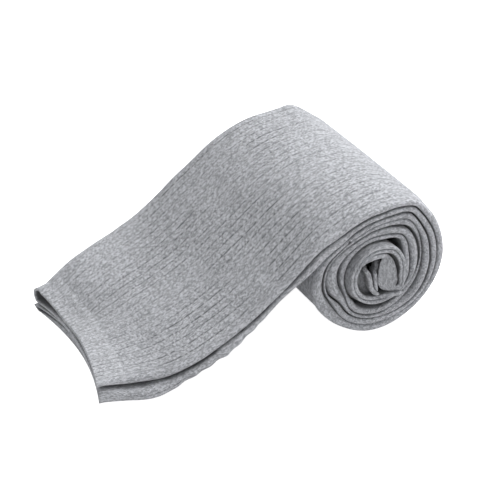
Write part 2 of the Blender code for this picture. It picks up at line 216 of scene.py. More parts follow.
STAND_OUT = 0.0033             # the innermost turns stand out at the near end
STAND_OUT_SPAN = (840, 1000)   # over these degrees turned
TUCK_IN = 0.0090               # and the toes are tucked back in
TUCK_IN_SPAN = (1210, 1256)
UPPER_END = 1500               # degrees turned at the toe of each sock
LOWER_END = 1460
RIBS_END = 318                 # degrees at which the outer turn slips under the loose end


def mix(a, b, t):
    return a + (b - a) * t


def ease(value, start, end):
    """0 before start, 1 after end, smooth between."""
    t = np.clip((value - start) / (end - start), 0.0, 1.0)
    return t * t * (3.0 - 2.0 * t)


def rise_and_fall(value, start, full, fading, end):
    """0 before start and after end, 1 between full and fading."""
    return ease(value, start, full) * (1 - ease(value, fading, end))


def scatter(cells, seed):
    """Repeatable random numbers from 0 to 1, one for each whole number given."""
    value = np.sin(cells * 127.1 + seed * 311.7) * 43758.5453
    return value - np.floor(value)


def ripple(x, y, seed):
    """Smooth uneven waves from 0 to 1, about one unit long each way."""
    cell_x, cell_y = np.floor(x), np.floor(y)
    part_x, part_y = x - cell_x, y - cell_y
    part_x = part_x * part_x * (3 - 2 * part_x)
    part_y = part_y * part_y * (3 - 2 * part_y)

    def corner(dx, dy):
        return scatter((cell_x + dx) * 17.13 + (cell_y + dy) * 57.31, seed)

    low = mix(corner(0, 0), corner(1, 0), part_x)
    high = mix(corner(0, 1), corner(1, 1), part_x)
    return mix(low, high, part_y)


def smooth_table(rows, at):
    """Values of a table's later columns at places along its first one, on smooth curves."""
    rows = np.array(rows, float)
    keys, values = rows[:, 0], rows[:, 1:]
    slope = np.gradient(values, keys, axis=0)
    at = np.clip(np.asarray(at, float), keys[0], keys[-1])
    i = np.clip(np.searchsorted(keys, at, side="right") - 1, 0, len(keys) - 2)
    width = (keys[i + 1] - keys[i])[:, None]
    t = ((at - keys[i]) / (keys[i + 1] - keys[i]))[:, None]
    return ((2 * t ** 3 - 3 * t ** 2 + 1) * values[i] + (t ** 3 - 2 * t ** 2 + t) * width * slope[i]
            + (3 * t ** 2 - 2 * t ** 3) * values[i + 1] + (t ** 3 - t ** 2) * width * slope[i + 1])


# ---- the line between the socks ----
def drawn_in(angle, sag):
    return 1 - sag * np.maximum(0.0, np.cos(angle - radians(SAG_ANGLE))) ** SAG_POWER


def even_roll(turned, radii, sag, lift):
    """Points (x, z) of the plain spiral after so many degrees from the top."""
    turns, angle = turned / 360, np.radians(turned)
    tighter = ease(turned, *TIGHTER_SPAN)
    axis_x = ROLL_X - DRIFT * turns - TIGHTER.side * tighter
    axis_z = (radii.up - PITCH.up / 2) * drawn_in(pi, sag) + PRESSED + SEAM / 2 + lift - FLATTEN
    aside = (radii.side - PITCH.side * turns - TIGHTER.side * tighter) * np.sin(angle)
    rise = (radii.up - PITCH.up * turns - TIGHTER.up * tighter) * np.cos(angle)
    left = drawn_in(angle, sag)
    return np.stack([axis_x + aside * left, axis_z + rise * left], -1)


def catmull(points, splits):
    """Points on a Catmull-Rom curve, so many to a span, without the last one."""
    before = np.concatenate([points[:1], points[:-2]])
    after = np.concatenate([points[2:], points[-1:]])
    start, end = points[:-1], points[1:]
    made = []
    for t in np.arange(splits) / splits:
        made.append(0.5 * (2 * start + (end - before) * t
                           + (2 * before - 5 * start + 4 * end - after) * t * t
                           + (3 * start - before - 3 * end + after) * t ** 3))
    return np.stack(made, 1).reshape(-1, points.shape[1])


class Line:
    """The line between the socks from hem to toe, at each of its stations."""

    def __init__(self, turns, splits):
        loose = np.array(LOOSE_END)
        start = np.zeros(1)
        near = np.vstack([loose[:, :2], even_roll(start, NEAR_RADII, NEAR_SAG, NEAR_LIFT)])
        far = np.vstack([loose[:, [0, 2]], even_roll(start, FAR_RADII, FAR_SAG, 0.0)])
        near, far = catmull(near, splits), catmull(far, splits)
        loose_count = len(near)
        self.near = np.vstack([near, even_roll(turns, NEAR_RADII, NEAR_SAG, NEAR_LIFT)])
        self.far = np.vstack([far, even_roll(turns, FAR_RADII, FAR_SAG, 0.0)])
        self.turned = np.concatenate([np.full(loose_count, -1.0), turns])
        steps = (np.linalg.norm(np.diff(self.near, axis=0), axis=1)
                 + np.linalg.norm(np.diff(self.far, axis=0), axis=1)) / 2
        self.reach = np.concatenate([[0.0], np.cumsum(steps)])
        self.near_out, self.far_out = self.outward(self.near), self.outward(self.far)
        self.shape_near_end()

    @staticmethod
    def outward(points):
        run = np.gradient(points, axis=0)
        out = np.stack([-run[:, 1], run[:, 0]], -1)
        return out / np.linalg.norm(out, axis=1, keepdims=True)

    def shape_near_end(self):
        """How far the near end's folds lie from the plain spiral, and how thick they are."""
        centre = np.array(CORE)
        rows = smooth_table(NEAR_END, np.maximum(self.turned, 0)) / 1000
        inner = smooth_table(NEAR_END, np.maximum(self.turned, 0) + 360)[:, 1] / 1000
        angle = np.radians(np.maximum(self.turned, 0))
        spot = centre + rows[:, :1] * np.stack([np.sin(angle), np.cos(angle)], -1)
        in_roll = self.turned >= 0
        top = int(np.argmax(in_roll))
        joining = ease(self.near[:, 0], *JOINING)[:, None]
        droop = (spot[top] - self.near[top]) * joining
        self.moved = np.where(in_roll[:, None], spot - self.near, droop)
        even = PRESSED + PRESSED_SWING * np.sin(angle)
        rooms = np.array(ROOM).T
        gap = np.interp(self.turned, *rooms) / 1000
        inner_gap = np.interp(self.turned + 360, *rooms) / 1000
        upper = rows[:, 1] - rows[:, 0] - SEAM / 2 - gap / 2
        most = np.interp(self.turned, *np.array(LOWER_MOST).T) / 1000
        lower = np.minimum(rows[:, 0] - inner - SEAM / 2 - inner_gap / 2, most)
        lower = np.maximum(lower, LOWER_LEAST)
        at, socks, turns = np.array(TOGETHER).T
        self.together = np.interp(self.turned, at, socks)
        self.outside = np.interp(self.turned, at, turns)
        self.inside = np.interp(self.turned + 360, at, turns) * in_roll
        join = joining[:, 0]
        under = UNDER_PUFF * rise_and_fall(self.near[:, 0], *UNDER_PUFF_SPAN)
        self.upper_puff = np.where(in_roll, upper - even, (upper[top] - PRESSED) * join)
        self.lower_puff = np.where(in_roll, lower - even, (lower[top] - PRESSED) * join + under)

    def changed(self, change):
        """A copy of the line with each of its tables changed."""
        part = copy(self)
        for name, table in vars(self).items():
            setattr(part, name, change(name, table))
        return part

    def cut(self, keep):
        """The same line with only some of its stations."""
        return self.changed(lambda _, table: table[keep])

    def followed_by(self, other):
        return self.changed(lambda name, table: np.concatenate([table, getattr(other, name)]))

    def at(self, reach):
        """One station at an exact distance from the hem."""
        def measured(_, table):
            columns = table.reshape(len(table), -1).T
            values = [np.interp(reach, self.reach, column) for column in columns]
            return np.reshape(values, (1,) + table.shape[1:])

        return self.changed(measured)


# ---- sizes along and across a sock ----
def half_width(line):
    return mix(HEM_HALF_WIDTH, LEG_HALF_WIDTH, ease(line.reach, 0, WIDEN_END))


def ledge(line):
    """Sideways shift of the lower sock's near edge."""
    out = np.full(len(line.reach), LEDGES[0].shift)
    for a, b in zip(LEDGES, LEDGES[1:]):
        out += (b.shift - a.shift) * ease(line.reach, a.reach, b.reach)
    start, end = SCALLOP_SPAN
    fade = rise_and_fall(line.reach, start, start + SCALLOP_LENGTH, end - SCALLOP_LENGTH, end)
    return out + SCALLOP * fade * np.sin(2 * pi * (line.reach - start) / SCALLOP_LENGTH)


def stand_out(line, is_upper):
    """How far a fold comes out at the near end."""
    out = STAND_OUT * ease(line.turned, *STAND_OUT_SPAN)
    out -= (STAND_OUT + TUCK_IN) * ease(line.turned, *TUCK_IN_SPAN)
    if not is_upper:
        out -= LOWER_BACK * rise_and_fall(line.turned, *LOWER_BACK_SPAN)
    return out


def thickness(line, across, is_upper):
    """Flattened tube's thickness at each place across; across has a row for each station."""
    slack = UPPER_SLACK if is_upper else LOWER_SLACK
    width = half_width(line)[:, None]
    side = np.clip((across / width + 1) / 2, 0, 1)
    pressed = PRESSED + PRESSED_SWING * np.sin(np.radians(line.turned)) * (line.turned >= 0)
    thick = mix(mix(slack.near, slack.far, side), pressed[:, None],
                ease(line.reach, *SLACK_SPAN)[:, None])
    thick = thick + near_lift(line, side) * (-1 if is_upper else 1)
    if is_upper:
        thick = thick + CORNER_LIFT * side ** 6 * near_hem(line, CORNER_LIFT_REACH)
        arch = np.maximum(1 - (across / width) ** 2, 0.0)
        middle, wide = HEM_HOLLOW_AT
        dip = HEM_DIP * arch + HEM_HOLLOW * np.exp(-((across - middle) / wide) ** 2)
        thick = thick - dip * near_hem(line, HEM_DIP_REACH)
    puff = line.upper_puff if is_upper else line.lower_puff
    return thick + puff[:, None] * near_weight(across, width)


def near_hem(line, reach):
    """1 at the hem, fading to 0 at a distance from it, for each station."""
    return 1 - ease(line.reach, 0.0, reach)[:, None]


def near_lift(line, side):
    """The line between the socks rises to the hem's near corner."""
    return NEAR_CORNER * near_hem(line, NEAR_CORNER_REACH) * (1 - side) ** 2


def near_weight(across, width):
    """1 at the near edge, fading to 0 where the folds have settled."""
    return 1 - ease(across + width, 0.0, PUFFED)


def place(line, across, height, shift, is_upper):
    """Points at distances across from the middle and heights above the line between socks."""
    width = half_width(line)[:, None]
    local = across + shift[:, None] * (1 - across / width) / 2
    side = (local / width + 1) / 2
    power = mix(FAR_LIFT_POWER, 1.0, ease(line.reach, 0, SLACK_SPAN[1]))[:, None]
    side = np.sign(side) * np.abs(side) ** power
    base = mix(line.near[:, None], line.far[:, None], side[..., None])
    out = mix(line.near_out[:, None], line.far_out[:, None], side[..., None])
    out /= np.linalg.norm(out, axis=-1, keepdims=True)
    near = near_weight(across, width)
    base = base + line.moved[:, None] * near[..., None]
    arch = np.maximum(1 - (local / width) ** 2, 0.0)
    loose = np.where(line.turned >= 0, 0.0, 1 - ease(line.near[:, 0], *CROWN_FADE))
    crown = (CROWN * loose * ease(line.reach, *CROWN_SPAN))[:, None] * arch
    bow = near_hem(line, HEM_BOW_REACH) * arch
    away = np.clip(np.abs(height) / thickness(line, across, is_upper), 0, 1)
    side = np.clip(side, 0, 1)
    corner = side ** 3 * near_hem(line, FAR_CORNER_REACH)
    if is_upper:
        fade = 1 - ease(line.reach, UPPER_HEM, UPPER_HEM + HEM_SKEW_REACH)[:, None]
        bow = bow * mix(*UPPER_BOW, away) - CORNER_OUT * corner * (1 - away)
        bow = bow - fade * mix(*HEM_SKEW, (1 - side) ** 1.5)
    else:
        bow = bow * LOWER_BOW + corner * mix(-LOWER_CORNER_OUT, LOWER_SKEW, away)
    swell = sum(p.lift * np.exp(-((line.far[:, 0] - p.x) / p.wide) ** 2) for p in PEAK)
    swell = (swell * (line.turned < PEAK_END))[:, None] * side ** 3
    spot = base + out * (height + crown + near_lift(line, side) + swell)[..., None]
    y = local - stand_out(line, is_upper)[:, None] * near
    return np.stack([spot[..., 0] + bow, y, np.maximum(spot[..., 1], 0.0)], -1)


# ---- ribs ----
def rib_places(count, offsets):
    """Where the faces are cut across, from -1 to 1: closer together round each groove."""
    cuts = [(rib + part) / count for rib in range(count) for part in offsets]
    return np.array(cuts[1:]) * 2 - 1


GROOVE_WIDTH = 0.10            # share of a rib's pitch
GROOVE_DEPTH = 0.80            # share of a rib's height that its deepest groove takes
FAINT_LENGTH = 0.021           # grooves come and go over about this length
FAINT_RIBS = 4.3               # and this many ribs


def rib_relief(across, reach, width, style):
    """How far ribs stand up, and how dark the painted shade lines in the grooves between them may
    be, at each place.
    """
    pitch = 2 * width / style.ribs
    place_in = (across + width) / pitch
    nearest = np.round(place_in)
    off = (place_in - nearest) * pitch
    broken = ripple(reach / style.dash + scatter(nearest, 3.0) * 50, nearest * 1.7, 5.0)
    faint = ripple(reach / FAINT_LENGTH, nearest / FAINT_RIBS, 9.0)
    strength = mix(0.45, 1, ease(broken, 0.25, 0.65)) * mix(0.55, 1, ease(faint, 0.2, 0.7))
    groove = np.exp(-(off / (GROOVE_WIDTH * pitch)) ** 2) * mix(0.25, 1, strength)
    rounded = 1 - (np.abs(off) / (pitch / 2) - 1) ** 2
    height = style.depth * (mix(1, rounded, 0.45) - GROOVE_DEPTH * groove)
    return height, mix(0.45, 1, ease(faint, 0.15, 0.75))


# ---- one section round a flattened tube ----
Style = namedtuple("Style", "top bottom ribs depth dash")
FOLD_SPLITS = 10
JOINT_EASE = 0.004             # the ribs run out over this length at the welt's joint
PRESSED_SHUT = 0.90            # share of the gap that goes where two folds press together
PRESSED_PALE = 0.85            # and share of the painted shade line between them
END_SHADE = 0.20               # painted shade: how much darker the near end's inner folds are
END_SHADE_SPAN = (120, 300)
LINE_WIDE = 0.0008             # half width of the painted shadow line along the upper sock's near edge, on the lower sock
# How dark that painted shadow line is.
LINE_DARK = 1.6
LINE_FADE = (0.070, 0.095)     # distances from the hem between which that line ends
PAST_HEM = 0.0012              # the shade between the socks is full this far in from the hem
EDGE_OPEN = (0.0008, 0.0045)   # and grows over these distances from the near edge
EDGE_LEAST = 0.45              # starting with this share of it
CAST_SPAN = (0.02, 0.05)       # distances from the hem between which it becomes full
CAST_LEAST = 0.8               # from this share of it
UNDER_LOOSE = (296, RIBS_END)  # degrees at which the outer turn slips into the shade
UNDER_FLOOR = (0, 20)          # and at which the lower sock's outer face does
CORE_SHADE = 0.6               # painted shade: how much darker that is towards the roll's middle
CORE_SPAN = (900, 1000)
FAR_LINING = (0.4, 0.95, 1.5)  # painted shade: the mouth's far side is this dark, between these shares across
LINING_LIFT = 0.003            # cloth that a closed mouth takes up at the hem
FOLD_LINES = 0.35              # how dark the painted shade in the grooves is round a fold
LOWER_LINES = 0.80             # and round the lower sock's near one
# How dark the painted shade inside a mouth is at the hem and within, and distances in between.
Lining = namedtuple("Lining", "start end at_hem within")
LININGS = BySock(Lining(0.0006, 0.0045, 0.0, 0.9), Lining(0.0, 0.0022, 0.1, 1.4))


class Tube:
    """A length of one sock, flattened along the line.

    Its loops run over the top face from near to far, round the far fold, back under the
    lower face and round the near fold. style.top and style.bottom are the cuts across.
    """

    def __init__(self, line, is_upper, style, rise=0.0, inset=0.0):
        self.line, self.is_upper, self.style, self.inset = line, is_upper, style, inset
        self.width = (half_width(line) - inset)[:, None]
        self.shift = np.zeros(len(line.reach)) if is_upper else ledge(line)
        self.start = line.reach[0]
        end = self.start + WELT_DEPTH
        self.proud = rise * (1 - ease(line.reach, end - WELT_PROUD_EASE, end))[:, None]
        self.from_hem = line.reach - UPPER_HEM * is_upper
        self.past_hem = ease(self.from_hem, 0.0, PAST_HEM)
        self.loose = 1 - ease(line.reach, *LINE_FADE)[:, None]
        self.out = np.maximum(stand_out(line, is_upper), 0.0)[:, None]

    def levels(self, across):
        """Heights of the lower and the upper face above the line between the socks."""
        line, inset, is_upper = self.line, self.inset, self.is_upper
        thick = thickness(line, across, is_upper)
        near = near_weight(across, self.width)
        apart = rise_and_fall(line.reach, *HEM_GAP_SPAN)[:, None]
        seam = SEAM / 2 * (1 - PRESSED_SHUT * line.together[:, None] * near)
        seam = seam + HEM_GAP * apart * near
        closed = MOUTH_CLOSED[is_upper] * (thick - 2 * inset) if inset else 0.0
        closed = closed * (1 - np.clip(across / self.width, 0, 1) ** CLOSED_POWER[is_upper])
        if is_upper:
            return seam + inset + closed, SEAM / 2 + thick - inset + self.proud
        return -SEAM / 2 - thick + inset - self.proud + closed, -seam - inset

    def half_thick(self, across):
        low, high = self.levels(across)
        return (high - low) / 2

    def face(self, cuts, is_top):
        """Places across, heights, places in the cloth, grooves and creases of a face, with their
        painted shade.
        """
        width = self.width
        first = self.half_thick(-width) - width
        last = width - self.half_thick(width)
        across = mix(first, last, (cuts[None] + 1) / 2)
        low, high = self.levels(across)
        lift = dark = np.zeros_like(across)
        if self.style.ribs and is_top == self.is_upper:
            lift, dark = rib_relief(across, self.line.reach[:, None], width, self.style)
            joint = np.abs(self.from_hem - WELT_DEPTH)
            lift = lift * ease(joint, 0.0, JOINT_EASE)[:, None]
        # The painted shade is weaker near the open near edge.
        start, end = EDGE_OPEN
        deep = np.maximum(ease(across + width, start, end + self.out), EDGE_LEAST)
        if is_top and not self.is_upper:
            deep = mix(deep, self.under_upper(across), self.loose)
        level = high + lift if is_top else low - lift
        return across, level, across / width, dark, self.covered(is_top) * deep

    def fold(self, at_far):
        """The same round the far or the near fold."""
        line, width = self.line, self.width
        side = 1 if at_far else -1
        low, high = self.levels(side * width)
        radius = (high - low) / 2
        angle = np.linspace(pi / 2, -pi / 2, FOLD_SPLITS + 1)[None, ::side]
        bulge = np.cos(angle)
        if at_far:
            square = mix(FAR_SQUARE, 1.0, ease(line.reach, 0.0, FAR_CORNER_REACH))[:, None]
            bulge = np.where((np.sin(angle) < 0) == self.is_upper, np.abs(bulge) ** square, bulge)
        across = side * (width - radius + radius * bulge)
        level = (low + high) / 2 + radius * np.sin(angle)
        u = side * (1 + (pi / 2 - angle) * radius / width)
        # Painted shade on the fold's sides where they lie against other cloth, and on the near end.
        above = np.maximum(np.sin(angle), 0) ** 4
        below = np.maximum(-np.sin(angle), 0) ** 4
        shade = 0.0
        if not at_far:
            shade = END_SHADE * ease(line.turned, *END_SHADE_SPAN)[:, None]
            if self.is_upper:
                above = above * (1 - 0.5 * np.clip(self.out / STAND_OUT, 0, 1))
            else:
                above = mix(above, self.under_upper(across) * (np.sin(angle) > 0), self.loose)
        crease = above * self.covered(True) + below * self.covered(False) + shade
        lines = FOLD_LINES if at_far or self.is_upper else LOWER_LINES
        return across, level, u, lines * np.cos(angle) * np.ones_like(u), crease

    def under_upper(self, across):
        """How dark the painted shadow on the lower sock's top face is: from just where the upper
        one lies over it.
        """
        edge = -self.shift[:, None]
        return LINE_DARK * ease(across + self.width, edge - LINE_WIDE, edge + LINE_WIDE)

    def covered(self, is_top):
        """Share of painted shade on a face: 1 where an outer face lies against other cloth, 0 where
        it is open to the room.
        """
        line = self.line
        if is_top != self.is_upper:
            painted_shade = mix(CAST_LEAST, 1.0, ease(line.reach, *CAST_SPAN)) * self.past_hem
            pressed = line.together
        elif self.is_upper:
            painted_shade = ease(line.turned, *UNDER_LOOSE)
            pressed = line.outside
        else:
            painted_shade = ease(line.turned, *UNDER_FLOOR) + CORE_SHADE * ease(line.turned, *CORE_SPAN)
            pressed = line.inside
        return (painted_shade * (1 - PRESSED_PALE * pressed))[:, None]

    def lining_crease(self, u):
        """How dark the painted shade inside the mouth is: more so further in and towards its far
        side.
        """
        start, end, at_hem, within = LININGS[self.is_upper]
        deep = mix(at_hem, within, ease(self.from_hem, start, end))[:, None]
        start, end, darkest = FAR_LINING
        return mix(deep, darkest, ease(u, start, end) * self.past_hem[:, None])

    def loops(self):
        """Loops of points, with cloth coordinates and painted groove and crease shade for each."""
        style = self.style
        parts = [self.face(style.top, True), self.fold(True),
                 self.face(style.bottom[::-1], False), self.fold(False)]
        across, level, u, dark, crease = (np.concatenate(part, 1) for part in zip(*parts))
        v = self.line.reach
        if self.inset:
            crease = self.lining_crease(u)
            v = 2 * self.start - self.inset - LINING_LIFT * MOUTH_CLOSED[self.is_upper] - v
        points = place(self.line, across, level, self.shift, self.is_upper)
        cloth = np.stack(np.broadcast_arrays(u * LEG_HALF_WIDTH, v[:, None]), -1)
        return points, cloth, np.stack([dark, crease], -1)


def even_cuts(count):
    return np.arange(1, count) / count * 2 - 1


# ---- meshes ----
class Shell:
    """Collects loops of points and the faces between them."""

    def __init__(self):
        self.points, self.cloth, self.dark, self.faces = [], [], [], []
        self.count = 0
        self.crisp = set()

    def add(self, points, cloth, dark):
        """Stacked loops; returns their vertex numbers, one row a loop."""
        rows, columns = points.shape[:2]
        numbers = self.count + np.arange(rows * columns).reshape(rows, columns)
        self.points.append(points.reshape(-1, 3))
        self.cloth.append(cloth.reshape(-1, 2))
        self.dark.append(np.broadcast_to(dark, (rows, columns, 2)).reshape(-1, 2))
        self.count += rows * columns
        return numbers

    def skin(self, numbers, flip=False):
        """Four-cornered faces between stacked loops."""
        a, b = numbers[:-1], numbers[1:]
        quads = np.stack([a, np.roll(a, -1, 1), np.roll(b, -1, 1), b], -1).reshape(-1, 4)
        self.faces.extend((quads[:, ::-1] if flip else quads).tolist())

    def bridge(self, first, second, flip=False):
        """Faces between two loops that start together but may differ in count."""
        a, b, na, nb = 0, 0, len(first), len(second)
        while a < na or b < nb:
            if b == nb or (a < na and (a + 0.5) * nb <= (b + 0.5) * na):
                face = [first[a], first[(a + 1) % na], second[b % nb]]
                a += 1
            else:
                face = [first[a % na], second[(b + 1) % nb], second[b]]
                b += 1
            self.faces.append([int(k) for k in (face[::-1] if flip else face)])

    def crease(self, loop):
        """Keep a loop's edges crisp."""
        for a, b in zip(loop.tolist(), np.roll(loop, -1).tolist()):
            self.crisp.add((min(a, b), max(a, b)))

    def cap(self, loop, flip=False):
        """Flat end across a loop, as a fan round its middle."""
        points = np.concatenate(self.points)[loop]
        cloth = np.concatenate(self.cloth)[loop]
        middle = self.add(points.mean(0)[None, None], cloth.mean(0)[None, None], 0.0)[0, 0]
        for k in range(len(loop)):
            face = [int(loop[k]), int(loop[(k + 1) % len(loop)]), int(middle)]
            self.faces.append(face[::-1] if flip else face)

    def build(self, name, material):
        data = bpy.data.meshes.new(name)
        points = np.concatenate(self.points) + np.array(SHIFT)
        data.from_pydata(points.tolist(), [], self.faces)
        layer = data.uv_layers.new(name="cloth")
        corners = np.zeros(len(data.loops), dtype=np.int32)
        data.loops.foreach_get("vertex_index", corners)
        cloth = np.concatenate(self.cloth)[corners]
        layer.data.foreach_set("uv", (cloth * 1000).ravel().astype(np.float32))
        # groove and crease carry the painted shade for the material.
        for index, label in enumerate(("groove", "crease")):
            shade = data.attributes.new(label, "FLOAT", "POINT")
            values = np.concatenate(self.dark)[:, index]
            shade.data.foreach_set("value", values.astype(np.float32))
        data.materials.append(material)
        data.shade_smooth()
        if self.crisp:
            for edge in data.edges:
                if tuple(sorted(edge.vertices)) in self.crisp:
                    edge.use_edge_sharp = True
        data.validate()
        made = bpy.data.objects.new(name, data)
        bpy.context.scene.collection.objects.link(made)
        return made


LEG_RIBS = 21
WELT_RIBS = 34
LEG_STYLE = Style(rib_places(LEG_RIBS, (0, 0.09, 0.26, 0.5, 0.74, 0.91)), even_cuts(24), LEG_RIBS,
                  0.00035, 0.0030)
LOWER_STYLE = Style(even_cuts(24), rib_places(LEG_RIBS, (0, 0.12, 0.5, 0.88)), LEG_RIBS, 0.00035,
                    0.0030)
PLAIN_STYLE = Style(even_cuts(16), even_cuts(16), 0, 0.0, 0.0030)
UPPER_WELT_STYLE = Style(rib_places(WELT_RIBS, (0, 0.2, 0.5, 0.8)), even_cuts(34), WELT_RIBS,
                         0.00020, 0.0018)
LOWER_WELT_STYLE = Style(even_cuts(34), rib_places(WELT_RIBS, (0, 0.3, 0.7)), WELT_RIBS,
                         0.00015, 0.0018)
TURN_STEP = BySock(4.0, 1.5)   # degrees between the stations of the outer turn
INNER_STEP = 4.0               # and of those within it
LOOSE_SPLITS = 9               # stations from one row of the loose end to the next
WELT_SPLITS = 24


def make_leg(name, is_upper, end, material):
    outer = np.arange(0, RIBS_END + 0.01, TURN_STEP[is_upper])
    inner = np.arange(RIBS_END + INNER_STEP, end + 0.01, INNER_STEP)
    line = Line(np.concatenate([outer, inner]), LOOSE_SPLITS)
    start = UPPER_HEM * is_upper + WELT_DEPTH + WELT_JOINT
    body = line.at(start).followed_by(line.cut(line.reach > start + 0.0004))
    ribbed = body.turned <= RIBS_END if is_upper else body.turned < 0
    style = LEG_STYLE if is_upper else LOWER_STYLE
    shell = Shell()
    outer = shell.add(*Tube(body.cut(ribbed), is_upper, style).loops())
    inner = shell.add(*Tube(body.cut(~ribbed), is_upper, PLAIN_STYLE).loops())
    mouth = body.cut(body.reach <= MOUTH_DEPTH)
    lining = shell.add(*Tube(mouth, is_upper, style._replace(ribs=0), inset=PLY).loops())
    shell.crease(outer[0])
    shell.skin(outer)
    shell.skin(inner)
    shell.bridge(outer[-1], inner[0])
    shell.cap(inner[-1])
    shell.skin(lining, flip=True)
    shell.bridge(outer[0], lining[0], flip=True)
    shell.cap(lining[-1], flip=True)
    return shell.build(name, material)


def make_welt(name, is_upper, material):
    line = Line(np.arange(0, 31, 5.0), WELT_SPLITS)
    start = UPPER_HEM * is_upper
    end = start + WELT_DEPTH
    inside = line.cut((line.reach > start + 0.0002) & (line.reach < end - 0.0002))
    body = line.at(start).followed_by(inside).followed_by(line.at(end))
    style = UPPER_WELT_STYLE if is_upper else LOWER_WELT_STYLE
    shell = Shell()
    outer = shell.add(*Tube(body, is_upper, style, rise=WELT_PROUD).loops())
    lining = shell.add(*Tube(body, is_upper, style._replace(ribs=0), inset=PLY).loops())
    shell.crease(outer[-1])
    shell.skin(outer)
    shell.skin(lining, flip=True)
    shell.bridge(outer[0], lining[0], flip=True)
    shell.bridge(outer[-1], lining[-1])
    return shell.build(name, material)


# ---- the toes, tucked into the roll's middle ----
# Each row is a place on a fold's crest with half its width and how deep it goes, in millimetres.
Fold = namedtuple("Fold", "x y z half deep")
# Each row is the toe flap's left and right edge, its place along the axis and its depth.
Edges = namedtuple("Edges", "left left_up right right_up y deep")
TOE_FLAP = (
    Edges(-0.1, 41.9, 1.3, 42.3, -45.8, 0.8), Edges(-0.8, 39.9, 4.1, 39.5, -46.4, 1.2),
    Edges(-1.5, 38.3, 5.8, 36.7, -46.6, 1.4), Edges(-1.9, 35.6, 7.1, 33.2, -46.7, 1.5),
    Edges(-2.1, 32.9, 7.9, 29.6, -46.7, 1.5), Edges(-2.1, 30.0, 8.9, 26.0, -46.7, 1.5),
    Edges(-1.5, 26.9, 10.2, 22.4, -46.6, 1.4), Edges(0.3, 23.9, 11.1, 20.1, -46.4, 1.2),
    Edges(4.2, 21.1, 10.0, 19.5, -45.8, 0.8),
)
TOE_FOLDS = {
    "upper_edge": (
        Fold(-11.2, -46.4, 39.4, 0.7, 5.0), Fold(-10.8, -47.4, 41.5, 0.9, 5.0),
        Fold(-9.6, -47.8, 42.5, 1.0, 5.0), Fold(-7.3, -47.9, 42.9, 1.0, 5.0),
        Fold(-4.6, -47.9, 43.1, 1.0, 5.0), Fold(-1.2, -47.5, 42.6, 1.0, 5.0),
        Fold(1.4, -46.6, 41.6, 0.8, 5.0),
    ),
    "outer_bend": (
        Fold(-9.6, -45.4, 37.5, 0.7, 5.0), Fold(-8.6, -46.4, 36.2, 0.9, 5.0),
        Fold(-7.4, -46.9, 34.0, 1.0, 5.0), Fold(-6.5, -47.0, 30.9, 1.05, 5.0),
        Fold(-6.0, -47.0, 28.3, 1.05, 5.0), Fold(-4.9, -46.9, 25.5, 1.0, 5.0),
        Fold(-3.1, -46.7, 23.2, 0.95, 5.0), Fold(-0.2, -45.6, 21.0, 0.7, 5.0),
    ),
    "inner_bend": (
        Fold(-3.1, -44.6, 34.2, 0.7, 5.0), Fold(-3.6, -45.8, 33.7, 0.85, 5.0),
        Fold(-3.7, -46.4, 32.1, 0.9, 5.0), Fold(-3.4, -46.6, 29.7, 0.9, 5.0),
        Fold(-3.1, -46.5, 27.1, 0.9, 5.0), Fold(-1.5, -45.6, 23.1, 0.7, 5.0),
    ),
    "inner_wall": (
        Fold(-1.0, -43.6, 38.4, 1.2, 4.0), Fold(-1.5, -44.4, 35.6, 1.7, 4.0),
        Fold(-1.9, -44.4, 32.8, 1.7, 4.0), Fold(-1.4, -43.6, 28.9, 1.2, 4.0),
    ),
    "hollow_wall": (
        Fold(-9.0, -41.6, 39.0, 2.0, 3.0), Fold(-8.8, -42.4, 34.0, 3.4, 3.0),
        Fold(-7.6, -42.8, 29.0, 3.8, 3.0), Fold(-5.0, -42.6, 24.0, 3.4, 3.0),
        Fold(-1.5, -41.8, 21.0, 2.4, 3.0),
    ),
    "lower_edge": (
        Fold(-1.9, -45.6, 20.1, 0.6, 5.0), Fold(0.3, -46.4, 19.9, 0.8, 5.0),
        Fold(2.8, -46.8, 20.1, 0.85, 5.0), Fold(5.9, -47.0, 19.8, 0.85, 5.0),
        Fold(8.8, -47.0, 19.3, 0.8, 5.0), Fold(11.8, -46.2, 18.9, 0.6, 5.0),
    ),
}
FOLD_SHADE = 0.38              # painted shade on the toes' folds in front
TOE_SHADE = {"inner_wall": 0.95, "hollow_wall": 0.85}  # and more painted shade on those that lie deeper
# Painted shade on the toe flap.
FLAP_SHADE = 0.45
FOLD_ROUND = 0.8               # how round their sections are, from 0, square, to 1
FLAP_ROUND = 0.6
FRONT_SHARE = 0.25             # how much of a fold's depth lies before its crest
TOE_SPLITS = 8                 # stations from one row to the next
TOE_ROUND = 36                 # points round a toe piece
TOE_TAPER = 0.10               # share of its length over which each end closes
TOE_CLOTH = (0.03, 0.01)       # where its back and its front lie in the cloth across
TOE_REACH = 0.4                # and along


def toe_line(rows):
    rows = np.array(rows) / 1000
    return np.vstack([catmull(rows, TOE_SPLITS), rows[-1:]])


def toe_fold(name, rows, material):
    """Soft fold along a crest."""
    line = toe_line(rows)
    run = np.gradient(line[:, [0, 2]], axis=0)
    run /= np.linalg.norm(run, axis=1, keepdims=True)
    side = np.stack([run[:, 1], np.zeros(len(line)), -run[:, 0]], -1) * line[:, 3:4]
    shade = TOE_SHADE.get(name, FOLD_SHADE)
    return toe_shell("toe_" + name, line[:, :3], side, line[:, 4], FOLD_ROUND, shade, material)


def toe_flap(name, rows, material):
    """Broad flap between a left and a right edge."""
    line = toe_line(rows)
    left = line[:, [0, 4, 1]]
    right = line[:, [2, 4, 3]]
    middle, side = (left + right) / 2, (right - left) / 2
    return toe_shell(name, middle, side, line[:, 5], FLAP_ROUND, FLAP_SHADE, material)


